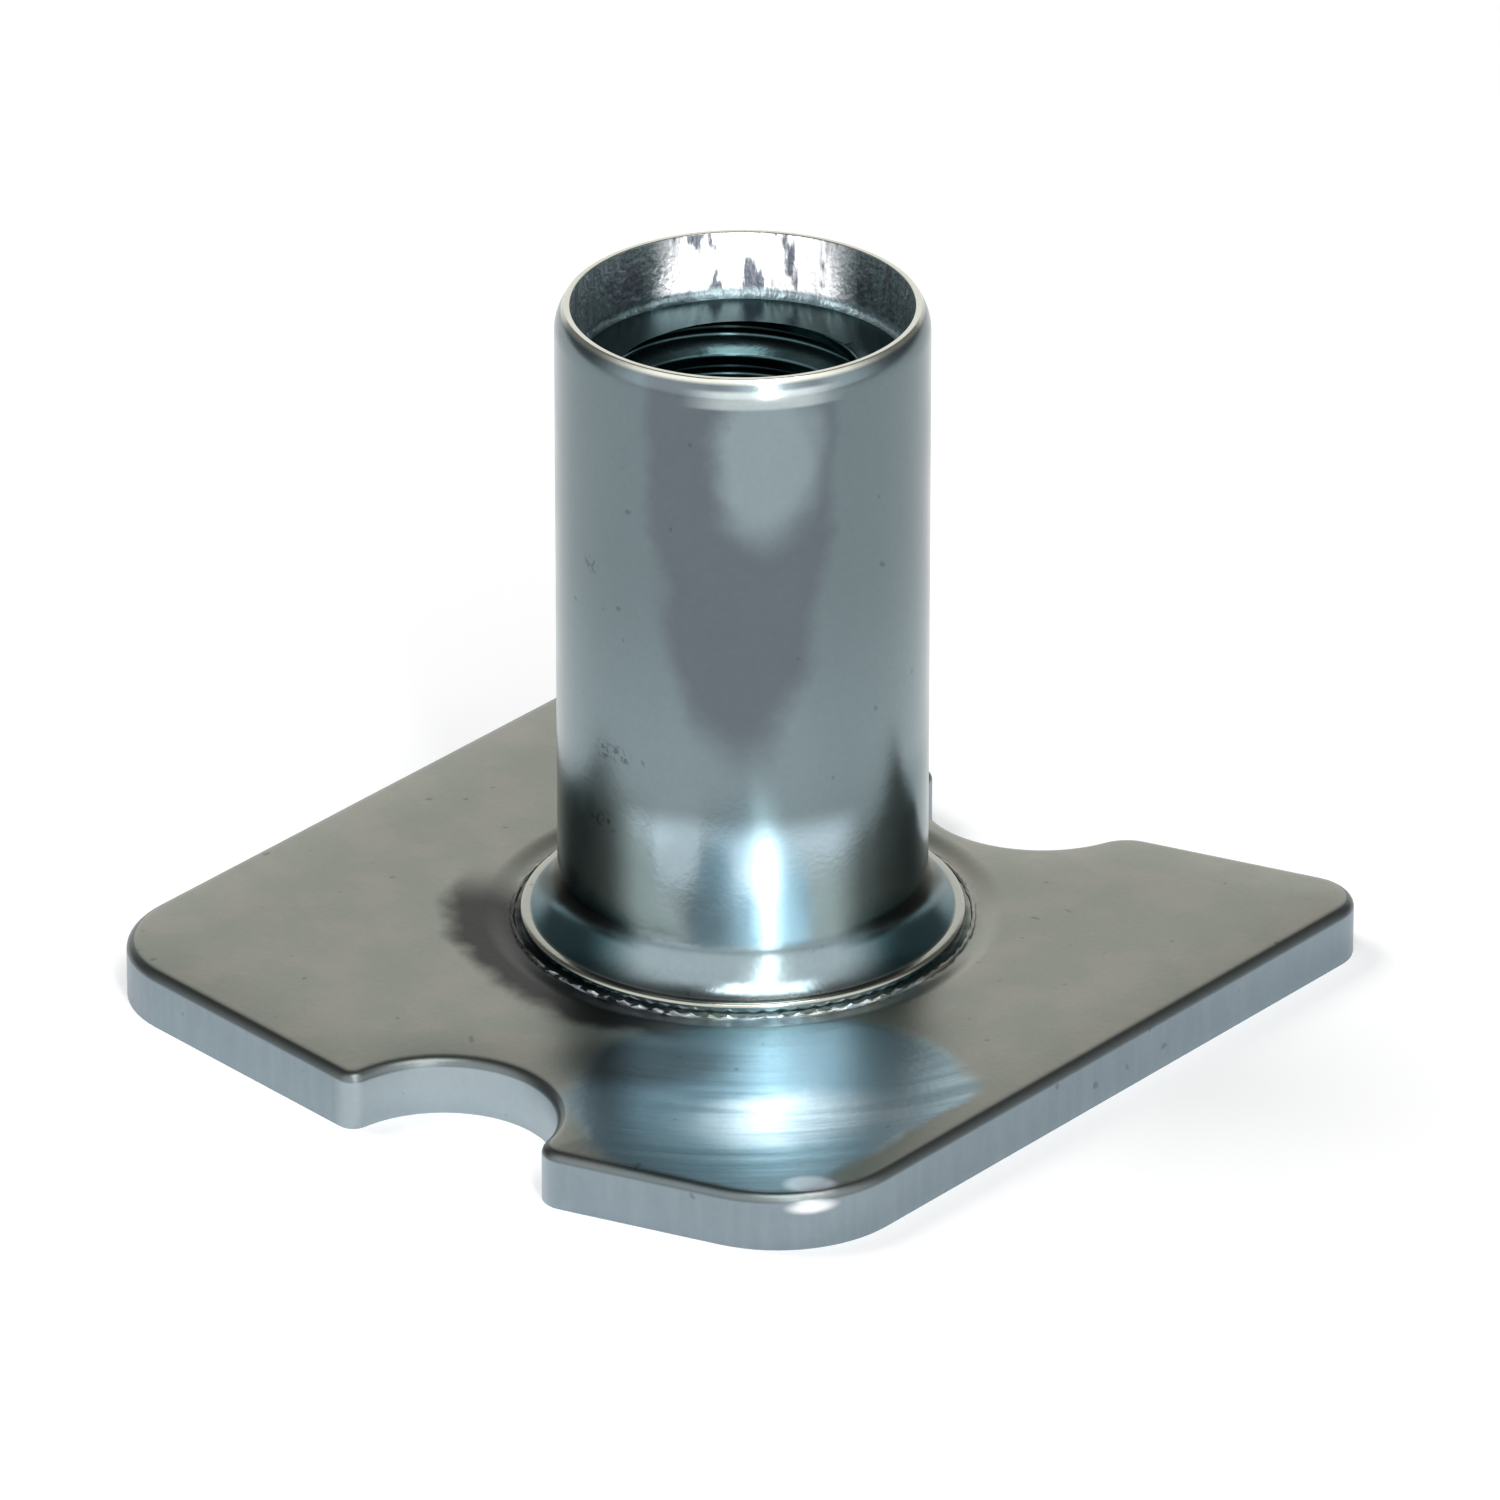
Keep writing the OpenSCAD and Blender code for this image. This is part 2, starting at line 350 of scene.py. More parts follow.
crest_z = CREST_Z - THREAD_PITCH * CREST_HEADING / 360
while crest_z > THREAD_BOTTOM - THREAD_PITCH:
    crest_z -= THREAD_PITCH
thread = start_pen("thread", (CORE_R, 0, crest_z - CREST / 2))
section_line(0, CREST)
section_line(THREAD_DEPTH, FLANK)
section_line(0, ROOT)
section_line(-THREAD_DEPTH, FLANK)
bpy.ops.mesh.select_all(action="SELECT")
bpy.ops.mesh.bevel(offset=THREAD_BREAK, segments=2, affect="VERTICES", clamp_overlap=True)
bpy.ops.object.mode_set(mode="OBJECT")
winding = thread.modifiers.new("winding", "SCREW")
winding.axis = "Z"
winding.angle = math.tau
winding.screw_offset = THREAD_PITCH
winding.iterations = TURNS
winding.steps = winding.render_steps = AROUND // 2
bpy.ops.object.modifier_apply(modifier="winding")
bpy.ops.object.mode_set(mode="EDIT")
close_seams()
for level, top in ((THREAD_TOP, True), (THREAD_BOTTOM, False)):
    bpy.ops.mesh.select_all(action="SELECT")
    bpy.ops.mesh.bisect(
        plane_co=(0, 0, level),
        plane_no=(0, 0, 1),
        clear_outer=top,
        clear_inner=not top,
        threshold=CUT_PRECISION,
    )
bpy.ops.object.mode_set(mode="OBJECT")

# ---------------------------------------------------------------------------------------------
# The nut is one piece of steel, so the flange, barrel, entry and thread are closed into one skin.
# Shearing draws the top of the flange down towards its edges, which leaves it a low crown.

CROWN_W = 2.6 * MM
CROWN_DROP = 0.08 * MM
CROWN_POWER = 2.4
CROWN_CUTS = 9
KNURL_H = 0.035 * MM
KNURL_JITTER = 0.02 * MM
CREASE_ANGLE = 32
SKIN = 0.01 * MM

# A fence round the flange's outline, from which the crown is measured
fence_points = []
fence_walls = []
for e in flange.data.edges:
    p, q = (flange.data.vertices[i].co.copy() for i in e.vertices)
    if p.z < SKIN and q.z < SKIN:
        base = len(fence_points)
        up = Vector((0, 0, FLANGE_T))
        fence_points += [p, q, q + up, p + up]
        fence_walls.append((base, base + 1, base + 2, base + 3))
fence = BVHTree.FromPolygons(fence_points, fence_walls)

deselect_everything()
for piece in (flange, barrel, entry, thread):
    piece.select_set(True)
bpy.context.view_layer.objects.active = barrel
bpy.ops.object.join()
nut = barrel
nut.name = nut.data.name = "tee_nut_steel"
bpy.ops.object.transform_apply(location=True, rotation=True, scale=True)
bpy.ops.object.mode_set(mode="EDIT")
bpy.ops.mesh.select_all(action="SELECT")
bpy.ops.mesh.normals_make_consistent(inside=False)


def pick_open_edges(piece, test):
    """Selects the open edges whose two ends pass a test, in edit mode."""
    bpy.ops.mesh.select_mode(type="EDGE")
    bpy.ops.mesh.select_all(action="DESELECT")
    bpy.ops.mesh.select_non_manifold(
        extend=False,
        use_wire=False,
        use_boundary=True,
        use_multi_face=False,
        use_non_contiguous=False,
        use_verts=False,
    )
    bpy.ops.object.mode_set(mode="OBJECT")
    points = piece.data.vertices
    for e in piece.data.edges:
        e.select = e.select and all(test(points[i].co) for i in e.vertices)
    bpy.ops.object.mode_set(mode="EDIT")


def axis_distance(p):
    """How far a place is from the barrel's axis."""
    return math.hypot(p.x, p.y)


def on_bead(p):
    """Whether a place is on the knurled bead."""
    near_top = FLANGE_T / 2 < p.z < FLANGE_T + SKIN
    return near_top and abs(axis_distance(p) - BEAD_R) < BEAD + SKIN


# The top of the flange is filled in, then cut across so that it can take its crown
pick_open_edges(nut, lambda p: abs(p.z - FLANGE_T) < SKIN)
bpy.ops.mesh.mark_seam()
bpy.ops.mesh.fill(use_beauty=True)
bpy.ops.object.mode_set(mode="OBJECT")
for e in nut.data.edges:
    e.select = e.select and not e.use_seam
bpy.ops.object.mode_set(mode="EDIT")
bpy.ops.mesh.subdivide(number_cuts=CROWN_CUTS)

# The underside is filled in, and each end of the thread is joined to the lead-in beyond it
pick_open_edges(nut, lambda p: abs(p.z) < SKIN)
bpy.ops.mesh.fill(use_beauty=True)
pick_open_edges(nut, lambda p: THREAD_TOP - SKIN < p.z < MOUTH_FLOOR_Z + SKIN)
bpy.ops.mesh.bridge_edge_loops()
pick_open_edges(nut, lambda p: p.z < THREAD_BOTTOM + SKIN)
bpy.ops.mesh.bridge_edge_loops()
bpy.ops.mesh.select_all(action="SELECT")
bpy.ops.mesh.mark_seam(clear=True)
bpy.ops.object.mode_set(mode="OBJECT")

# The crown and the knurls are pressed in. The knurls are highest where the bead passes in front
# of the barrel and die out towards its back, and each is a little uneven.
for v in nut.data.vertices:
    r = axis_distance(v.co)
    if r > LIP_R - SKIN and FLANGE_T / 2 < v.co.z < FLANGE_T + SKIN:
        edge_distance = fence.find_nearest(v.co)[3]
        if on_bead(v.co):
            across = max(0, 1 - ((r - BEAD_R) / BEAD) ** 2) * max(0, -v.co.x - v.co.y) / r
            v.co.z += KNURL_H * across * math.cos(KNURLS * math.atan2(v.co.y, v.co.x))
        v.co.z -= CROWN_DROP * max(0, 1 - edge_distance / CROWN_W) ** CROWN_POWER
bpy.ops.object.mode_set(mode="EDIT")
pick(nut, on_bead)
bpy.ops.transform.vertex_random(offset=KNURL_JITTER, uniform=0.6, normal=0, seed=4)
bpy.ops.mesh.select_all(action="SELECT")
bpy.ops.mesh.normals_make_consistent(inside=False)
bpy.ops.object.mode_set(mode="OBJECT")
bpy.ops.object.shade_smooth_by_angle(angle=math.radians(CREASE_ANGLE))

# ---------------------------------------------------------------------------------------------
# The finish: bright zinc plating over the whole nut. What it shows depends on how the steel under
# it was worked: rolled sheet, a sheared edge, a drawn barrel, a bored mouth or a cut thread. In
# places, painted highlights, reflections and shade are laid into its colour as well.

# The front is the side where the die burnished the flange, between the nose and the right edge
FRONT = (-0.769, -0.639, 0)
RIGHT = (0.639, -0.769, 0)


def feed(tree, socket, value):
    """Gives a socket a plain value or links another socket to it."""
    if isinstance(value, bpy.types.NodeSocket):
        tree.links.new(value, socket)
    else:
        socket.default_value = value


def sums(tree, operation, *values):
    """One step of arithmetic on values or sockets."""
    node = tree.nodes.new("ShaderNodeMath")
    node.operation = operation
    for socket, value in zip(node.inputs, values):
        feed(tree, socket, value)
    return node.outputs[0]


def product(tree, *values):
    """All the values multiplied together. Of several masks, it is what they share."""
    result = values[0]
    for value in values[1:]:
        result = sums(tree, "MULTIPLY", result, value)
    return result


def sway(tree, pattern, size):
    """A pattern made into a shift to either side of nought, by half its size at the most."""
    return product(tree, sums(tree, "SUBTRACT", pattern, 0.5), size)


def distance(tree, u, v):
    """How far a point is from nought, by its two distances across and along."""
    return sums(tree, "SQRT", sums(tree, "ADD", product(tree, u, u), product(tree, v, v)))


def ramp(tree, value, start, end, at_start=0.0, at_end=1.0):
    """Smoothly runs from one value to another as its input goes from start to end."""
    node = tree.nodes.new("ShaderNodeMapRange")
    node.interpolation_type = "SMOOTHSTEP"
    feed(tree, node.inputs["Value"], value)
    feed(tree, node.inputs["From Min"], start)
    feed(tree, node.inputs["From Max"], end)
    feed(tree, node.inputs["To Min"], at_start)
    feed(tree, node.inputs["To Max"], at_end)
    return node.outputs["Result"]


def noise(tree, place, scale, detail, stretch=None):
    """A noise pattern, drawn out along the axes in which its stretch is below one."""
    if stretch:
        squeeze = tree.nodes.new("ShaderNodeVectorMath")
        squeeze.operation = "MULTIPLY"
        feed(tree, squeeze.inputs[0], place)
        squeeze.inputs[1].default_value = stretch
        place = squeeze.outputs[0]
    node = tree.nodes.new("ShaderNodeTexNoise")
    node.inputs["Scale"].default_value = scale
    node.inputs["Detail"].default_value = detail
    feed(tree, node.inputs["Vector"], place)
    return node.outputs["Fac"]


def blend(tree, factor, a, b, how="MIX"):
    """One colour over another. The colours are the Mix node's seventh and eighth sockets."""
    node = tree.nodes.new("ShaderNodeMix")
    node.data_type = "RGBA"
    node.blend_type = how
    for socket, value in ((node.inputs[0], factor), (node.inputs[6], a), (node.inputs[7], b)):
        feed(tree, socket, value)
    return node.outputs[2]


def split_place(tree, vector, letter):
    """One part of a vector, by its letter."""
    split = tree.nodes.new("ShaderNodeSeparateXYZ")
    feed(tree, split.inputs[0], vector)
    return split.outputs[letter]


def reach(tree, vector, direction):
    """How far a vector reaches in a direction."""
    dot = tree.nodes.new("ShaderNodeVectorMath")
    dot.operation = "DOT_PRODUCT"
    feed(tree, dot.inputs[0], vector)
    dot.inputs[1].default_value = direction
    return dot.outputs["Value"]


def start_group(name, inputs, outputs):
    """An empty node group with its sockets, each given as its name, kind and default."""
    group = bpy.data.node_groups.new(name, "ShaderNodeTree")
    for direction, sockets in (("INPUT", inputs), ("OUTPUT", outputs)):
        for label, kind, default in sockets:
            kind = "NodeSocket" + kind
            socket = group.interface.new_socket(name=label, in_out=direction, socket_type=kind)
            if default is not None:
                socket.default_value = default
    given = group.nodes.new("NodeGroupInput").outputs
    out = group.nodes.new("NodeGroupOutput").inputs
    return group, given, out


def use_group(tree, group, **given):
    """Places a group. An underscore in the name of a value stands for a space."""
    node = tree.nodes.new("ShaderNodeGroup")
    node.node_tree = group
    for label, value in given.items():
        feed(tree, node.inputs[label.replace("_", " ")], value)
    return node.outputs


# Where a point of the nut is, all in millimetres and radians: its place, its distance from the
# axis, its heading off the front, its height, and how far it lies ahead and to the right
around_axis, _, out = start_group(
    "around_axis",
    [],
    [
        ("Place", "Vector", None),
        ("Radius", "Float", None),
        ("Heading", "Float", None),
        ("Height", "Float", None),
        ("Ahead", "Float", None),
        ("Across", "Float", None),
    ],
)
in_mm = around_axis.nodes.new("ShaderNodeVectorMath")
in_mm.operation = "SCALE"
in_mm.inputs["Scale"].default_value = 1 / MM
feed(around_axis, in_mm.inputs[0], around_axis.nodes.new("ShaderNodeTexCoord").outputs["Object"])
place = in_mm.outputs[0]
ahead = reach(around_axis, place, FRONT)
across = reach(around_axis, place, RIGHT)
feed(around_axis, out["Place"], place)
feed(around_axis, out["Radius"], distance(around_axis, ahead, across))
feed(around_axis, out["Heading"], sums(around_axis, "ARCTAN2", across, ahead))
feed(around_axis, out["Height"], split_place(around_axis, place, "Z"))
feed(around_axis, out["Ahead"], ahead)
feed(around_axis, out["Across"], across)

# A band that is full within half its width of its centre and fades out over its softness
soft_band, given, out = start_group(
    "soft_band",
    [
        ("Value", "Float", 0),
        ("Centre", "Float", 0),
        ("Half Width", "Float", 1),
        ("Softness", "Float", 0.5),
    ],
    [("Mask", "Float", None)],
)
off = sums(soft_band, "ABSOLUTE", sums(soft_band, "SUBTRACT", given["Value"], given["Centre"]))
edge = sums(soft_band, "ADD", given["Half Width"], given["Softness"])
mask = ramp(soft_band, off, given["Half Width"], edge, at_start=1, at_end=0)
feed(soft_band, out["Mask"], mask)

# An oval that is full at its heart and fades out across its rim
soft_oval, given, out = start_group(
    "soft_oval",
    [
        ("Across", "Float", 0),
        ("Along", "Float", 0),
        ("Centre Across", "Float", 0),
        ("Centre Along", "Float", 0),
        ("Half Width", "Float", 1),
        ("Half Length", "Float", 1),
        ("Softness", "Float", 0.3),
    ],
    [("Mask", "Float", None)],
)
u = sums(soft_oval, "SUBTRACT", given["Across"], given["Centre Across"])
v = sums(soft_oval, "SUBTRACT", given["Along"], given["Centre Along"])
u = sums(soft_oval, "DIVIDE", u, given["Half Width"])
v = sums(soft_oval, "DIVIDE", v, given["Half Length"])
full = sums(soft_oval, "SUBTRACT", 1, given["Softness"])
gone = sums(soft_oval, "ADD", 1, given["Softness"])
mask = ramp(soft_oval, distance(soft_oval, u, v), full, gone, at_start=1, at_end=0)
feed(soft_oval, out["Mask"], mask)

# The plating's own look: soft cloudy tones, a fine grain and a few small specks
SPECK_DEPTH = 0.3
plating_grain, given, out = start_group(
    "plating_grain",
    [("Place", "Vector", None), ("Grain", "Float", 0.1), ("Clouds", "Float", 0.15)],
    [("Tone", "Float", None), ("Relief", "Float", None), ("Cloud", "Float", None)],
)
cloud = noise(plating_grain, given["Place"], scale=0.5, detail=4)
grain = noise(plating_grain, given["Place"], scale=5.5, detail=2)
speck = noise(plating_grain, given["Place"], scale=2.1, detail=1)
speck = product(plating_grain, ramp(plating_grain, speck, 0.74, 0.8), SPECK_DEPTH)
tone = sums(plating_grain, "ADD", 1, sway(plating_grain, cloud, given["Clouds"]))
tone = sums(plating_grain, "ADD", tone, sway(plating_grain, grain, given["Grain"]))
feed(plating_grain, out["Tone"], sums(plating_grain, "SUBTRACT", tone, speck))
feed(plating_grain, out["Relief"], grain)
feed(plating_grain, out["Cloud"], cloud)

# The rolled top edge is painted darker, a painted dark reflection on its tilted faces. Its faces
# are the tilted ones that lie outside the collar.
ROLLED_DARK_REFLECTION = (0.1, 0.12, 0.125, 1)
rolled_edge_reflection, given, out = start_group(
    "rolled_edge_reflection",
    [("Colour", "Color", None), ("Radius", "Float", 0)],
    [("Colour", "Color", None)],
)
facing = rolled_edge_reflection.nodes.new("ShaderNodeTexCoord").outputs["Normal"]
upward = split_place(rolled_edge_reflection, facing, "Z")
rolled = product(
    rolled_edge_reflection,
    ramp(rolled_edge_reflection, upward, 0.08, 0.3),
    ramp(rolled_edge_reflection, upward, 0.98, 0.92),
    ramp(rolled_edge_reflection, given["Radius"], 7.9, 8.3, at_end=0.85),
)
feed(rolled_edge_reflection, out["Colour"], blend(rolled_edge_reflection, rolled, given["Colour"], ROLLED_DARK_REFLECTION))


def start_finish(name, grain=0.1, clouds=0.15):
    """A new material on the nut, with where each point is and how the plating looks there."""
    finish = bpy.data.materials.new(name)
    finish.use_nodes = True
    tree = finish.node_tree
    where = use_group(tree, around_axis)
    look = use_group(tree, plating_grain, Place=where["Place"], Grain=grain, Clouds=clouds)
    nut.data.materials.append(finish)
    return tree, where, look


def band(tree, value, centre, half, softness):
    """The mask of a band, from its centre and half its width."""
    sockets = use_group(
        tree,
        soft_band,
        Value=value,
        Centre=centre,
        Half_Width=half,
        Softness=softness,
    )
    return sockets["Mask"]


def oval(tree, across, along, centre, half, softness):
    """The mask of an oval, with its centre and half its size each given across and along."""
    sockets = use_group(
        tree,
        soft_oval,
        Across=across,
        Along=along,
        Centre_Across=centre[0],
        Centre_Along=centre[1],
        Half_Width=half[0],
        Half_Length=half[1],
        Softness=softness,
    )
    return sockets["Mask"]


def end_finish(tree, look, colour, roughness, relief, depth):
    """Puts the tone over the colour, and the colour, roughness and relief into the shader."""
    tone = tree.nodes.new("ShaderNodeCombineColor")
    for i in range(3):
        feed(tree, tone.inputs[i], look["Tone"])
    bump = tree.nodes.new("ShaderNodeBump")
    bump.inputs["Distance"].default_value = depth
    feed(tree, bump.inputs["Height"], relief)
    shader = tree.nodes["Principled BSDF"]
    shader.inputs["Metallic"].default_value = 1
    feed(tree, shader.inputs["Base Color"], blend(tree, 1, colour, tone.outputs[0], "MULTIPLY"))
    feed(tree, shader.inputs["Roughness"], roughness)
    feed(tree, shader.inputs["Normal"], bump.outputs[0])


nut.data.materials.clear()

# Rolled sheet: a warm grey green cast
tree, where, look = start_finish("zinc_on_rolled_sheet")
OLIVE = (0.305, 0.323, 0.275, 1)
WARM = (0.335, 0.33, 0.287, 1)
colour = blend(tree, ramp(tree, look["Cloud"], 0.4, 0.65), OLIVE, WARM)
wander = sway(tree, look["Cloud"], 1.5)
ragged = sums(tree, "ADD", where["Radius"], wander)
astray = sums(tree, "ADD", where["Across"], wander)

# The forming die burnished a patch in front of the barrel, short of the right edge, smoother and
# with fine rings. Its blue is a painted reflection of the barrel, darker at its left and against
# the barrel, with a paler streak.
BARREL_REFLECTION = (0.3, 0.42, 0.46, 1)
RING_DARK = (0.2, 0.3, 0.34, 1)
RING_PALE = (0.42, 0.56, 0.6, 1)
PATCH_LEFT = (0.2, 0.29, 0.33, 1)
PATCH_BACK = (0.17, 0.25, 0.27, 1)
PATCH_STREAK = (0.4, 0.54, 0.59, 1)
RING_CONTRAST = 0.75
RING_WIDTH = 1.9
RING_LENGTH = 1.6
RING_DEPTH = 6
burnish_and_reflection = oval(tree, astray, where["Ahead"], centre=(0.9, 12.1), half=(5.9, 5.4), softness=0.07)
border = sums(tree, "ADD", split_place(tree, where["Place"], "Y"), product(tree, wander, 0.5))
burnish_and_reflection = product(tree, burnish_and_reflection, ramp(tree, border, -12.75, -12.3))
wound = tree.nodes.new("ShaderNodeCombineXYZ")
feed(tree, wound.inputs["X"], product(tree, where["Radius"], RING_WIDTH))
feed(tree, wound.inputs["Y"], product(tree, where["Heading"], RING_LENGTH))
rings = noise(tree, wound.outputs[0], scale=0.8, detail=3)
patch_reflection = blend(tree, ramp(tree, rings, 0.34, 0.66), RING_DARK, RING_PALE)
patch_reflection = blend(tree, RING_CONTRAST, BARREL_REFLECTION, patch_reflection)
patch_reflection = blend(tree, ramp(tree, where["Across"], 0.6, -3.8), patch_reflection, PATCH_LEFT)
by_barrel = ramp(tree, where["Ahead"], 11.8, 8.0, at_end=0.75)
patch_reflection = blend(tree, by_barrel, patch_reflection, PATCH_BACK)
streak = band(tree, where["Across"], centre=3.0, half=0.8, softness=1.8)
patch_reflection = blend(tree, streak, patch_reflection, PATCH_STREAK)
colour = blend(tree, burnish_and_reflection, colour, patch_reflection)

# A painted highlight, a pale glare, is laid in the colour at the middle of the patch
GLARE = (0.93, 0.97, 0.98, 1)
glare = oval(tree, astray, ragged, centre=(1.3, 13.3), half=(2.6, 1.4), softness=0.55)
glare = product(tree, glare, burnish_and_reflection, ramp(tree, rings, 0.35, 0.5, at_start=0.5))
colour = blend(tree, glare, colour, GLARE)

# Painted shade darkens the dish to the left of the collar, and a painted dark reflection lies
# behind the patch
POOL_REFLECTION = (0.045, 0.06, 0.062, 1)
POOL_REFLECTION_DEPTH = 0.8
DISH_SHADE = (0.034, 0.033, 0.031, 1)
pool_reflection = oval(tree, astray, where["Ahead"], centre=(-2.9, 9.7), half=(2.2, 1.5), softness=0.5)
colour = blend(tree, product(tree, pool_reflection, POOL_REFLECTION_DEPTH), colour, POOL_REFLECTION)
dish_shade_round = band(tree, ragged, centre=7.4, half=0.7, softness=0.8)
dish_shade_along = band(tree, where["Heading"], centre=-1.0, half=0.6, softness=0.35)
colour = blend(tree, product(tree, dish_shade_round, dish_shade_along), colour, DISH_SHADE)

# The knurls' tops carry a painted highlight, and a small painted glint is laid on the nose's corner
KNURL_HIGHLIGHT = (0.8, 0.83, 0.86, 1)
CORNER_TOP_HIGHLIGHT = (0.95, 0.97, 1, 1)
knurl_round = band(tree, where["Radius"], centre=BEAD_R / MM, half=0.03, softness=0.05)
knurl_along = band(tree, where["Heading"], centre=-0.1, half=0.75, softness=0.35)
uneven = ramp(tree, noise(tree, where["Place"], scale=2.4, detail=1), 0.44, 0.52)
colour = blend(tree, product(tree, knurl_round, knurl_along, uneven), colour, KNURL_HIGHLIGHT)
corner_highlight = oval(
    tree, where["Across"], where["Ahead"], centre=(1.9, 17.0), half=(0.7, 0.45), softness=0.3
)
colour = blend(tree, corner_highlight, colour, CORNER_TOP_HIGHLIGHT)
colour = use_group(tree, rolled_edge_reflection, Colour=colour, Radius=where["Radius"])["Colour"]
relief = product(tree, burnish_and_reflection, RING_DEPTH)
relief = sums(tree, "ADD", look["Relief"], product(tree, rings, relief))
roughness = ramp(tree, burnish_and_reflection, 0, 1, at_start=0.36, at_end=0.3)
end_finish(tree, look, colour, roughness, relief, depth=0.003 * MM)

# Sheared edge: a cool grey with fine upright score marks. It is brighter inside the nose's notch,
# and the painted glint on the nose's corner goes on down it.
tree, where, look = start_finish("zinc_on_sheared_edge")
SCORED_DARK = (0.235, 0.29, 0.325, 1)
SCORED_PALE = (0.252, 0.307, 0.338, 1)
PUNCHED = (0.34, 0.4, 0.43, 1)
CORNER_SIDE_HIGHLIGHT = (0.85, 0.88, 0.9, 1)
scores = noise(tree, where["Place"], scale=3.0, detail=3, stretch=(1, 1, 0.12))
colour = blend(tree, ramp(tree, scores, 0.35, 0.7), SCORED_DARK, SCORED_PALE)
punched = oval(
    tree, where["Across"], where["Ahead"], centre=(-8.56, 12.65), half=(3.9, 3.9), softness=0.08
)
colour = blend(tree, punched, colour, PUNCHED)
colour = use_group(tree, rolled_edge_reflection, Colour=colour, Radius=where["Radius"])["Colour"]
corner_highlight = oval(
    tree, where["Across"], where["Height"], centre=(1.95, 1.32), half=(0.6, 0.18), softness=0.5
)
corner_highlight = product(tree, corner_highlight, ramp(tree, where["Ahead"], 15, 16))
colour = blend(tree, corner_highlight, colour, CORNER_SIDE_HIGHLIGHT)
relief = sums(tree, "ADD", look["Relief"], scores)
end_finish(tree, look, colour, roughness=0.38, relief=relief, depth=0.0018 * MM)

# Drawn barrel: a smooth blue grey, a little paler low down
tree, where, look = start_finish("zinc_on_drawn_barrel", grain=0.12, clouds=0.12)
DRAWN = (0.16, 0.205, 0.22, 1)
DRAWN_LOW = (0.205, 0.262, 0.28, 1)
colour = blend(tree, ramp(tree, where["Height"], 8.5, 15), DRAWN_LOW, DRAWN)
wander = sway(tree, look["Cloud"], 0.25)
drift = sums(tree, "ADD", where["Heading"], wander)

# A painted reflection runs down its front: a duller mark, with a paler core at the top
MARK_REFLECTION = (0.127, 0.151, 0.17, 1)
CORE_REFLECTION = (0.26, 0.33, 0.35, 1)
CORE_REFLECTION_DEPTH = 0.9
mark_reflection = oval(tree, drift, where["Height"], centre=(-0.02, 19.0), half=(0.5, 9.6), softness=0.12)
core_reflection = oval(tree, drift, where["Height"], centre=(0.12, 18.9), half=(0.28, 2.6), softness=0.35)
colour = blend(tree, mark_reflection, colour, MARK_REFLECTION)
colour = blend(tree, product(tree, core_reflection, CORE_REFLECTION_DEPTH), colour, CORE_REFLECTION)

# Its foot carries a painted reflection, pale in front with a duller gap, and painted shade at both
# sides, with fins that climb from there. The painted shade is darkest in the crease above the
# flare.
FOOT_REFLECTION = (0.5, 0.63, 0.71, 1)
SHADED = (0.06, 0.125, 0.14, 1)
CREASE_SHADE = (0.02, 0.028, 0.03, 1)
REFLECTION_GAP_DEPTH = 0.45
reflection_gap = oval(
    tree, where["Heading"], where["Height"], centre=(-0.29, 5.6), half=(0.2, 1.3), softness=0.4
)
foot_reflection = product(
    tree,
    ramp(tree, sums(tree, "ADD", where["Height"], wander), 7.6, 6.4),
    ramp(tree, where["Height"], 3.1, 3.5),
    band(tree, where["Heading"], centre=-0.05, half=0.52, softness=0.25),
    sums(tree, "SUBTRACT", 1, product(tree, reflection_gap, REFLECTION_GAP_DEPTH)),
)
colour = blend(tree, foot_reflection, colour, FOOT_REFLECTION)
aside = sums(tree, "ABSOLUTE", drift)
flare = product(tree, ramp(tree, aside, 0.5, 0.85), ramp(tree, where["Height"], 4.3, 3.3))
fin_sides = ramp(tree, aside, 0.9, 1.15, at_end=0.65)
fins = product(tree, fin_sides, ramp(tree, where["Height"], 8.4, 6.8))
shaded = sums(tree, "MAXIMUM", flare, fins)
colour = blend(tree, shaded, colour, SHADED)
crease_shade = product(tree, shaded, band(tree, where["Height"], centre=3.15, half=0.2, softness=0.2))
colour = blend(tree, crease_shade, colour, CREASE_SHADE)

# Small scuffs on the left, each given as its centre and half its size in heading and height
SCUFF = (0.06, 0.075, 0.085, 1)
SCUFFS = (
    ((-0.93, 14.5), (0.02, 0.1)),
    ((-0.765, 8.8), (0.09, 0.12)),
    ((-0.85, 6.5), (0.07, 0.1)),
)
for centre, half in SCUFFS:
    scuff = product(
        tree,
        band(tree, where["Heading"], centre[0], half[0], softness=0.06),
        band(tree, where["Height"], centre[1], half[1], softness=0.25),
        ramp(tree, look["Relief"], 0.5, 0.6, at_end=0.6),
    )
    colour = blend(tree, scuff, colour, SCUFF)

# A painted highlight lies on the rim's front, and painted reflections make its flat top and the
# lip paler
RIM_HIGHLIGHT = (0.44, 0.5, 0.51, 1)
LAND_REFLECTION = (0.62, 0.63, 0.55, 1)
LIP_REFLECTION = (0.36, 0.37, 0.32, 1)
rim_along = band(tree, where["Heading"], centre=0.12, half=0.18, softness=0.3)
rim_high = band(tree, where["Height"], centre=20.62, half=0.2, softness=0.12)
land_round = ramp(tree, where["Radius"], 5.24, 5.17)
land_high = ramp(tree, where["Height"], 20.98, 21.05)
lip_round = ramp(tree, where["Radius"], 6.15, 6.25)
lip_high = ramp(tree, where["Height"], 1.88, 1.93)
colour = blend(tree, product(tree, rim_along, rim_high), colour, RIM_HIGHLIGHT)
colour = blend(tree, product(tree, land_round, land_high), colour, LAND_REFLECTION)
colour = blend(tree, product(tree, lip_round, lip_high), colour, LIP_REFLECTION)
roughness = ramp(tree, look["Cloud"], 0.3, 0.7, at_start=0.17, at_end=0.23)
end_finish(tree, look, colour, roughness, look["Relief"], depth=0.0025 * MM)

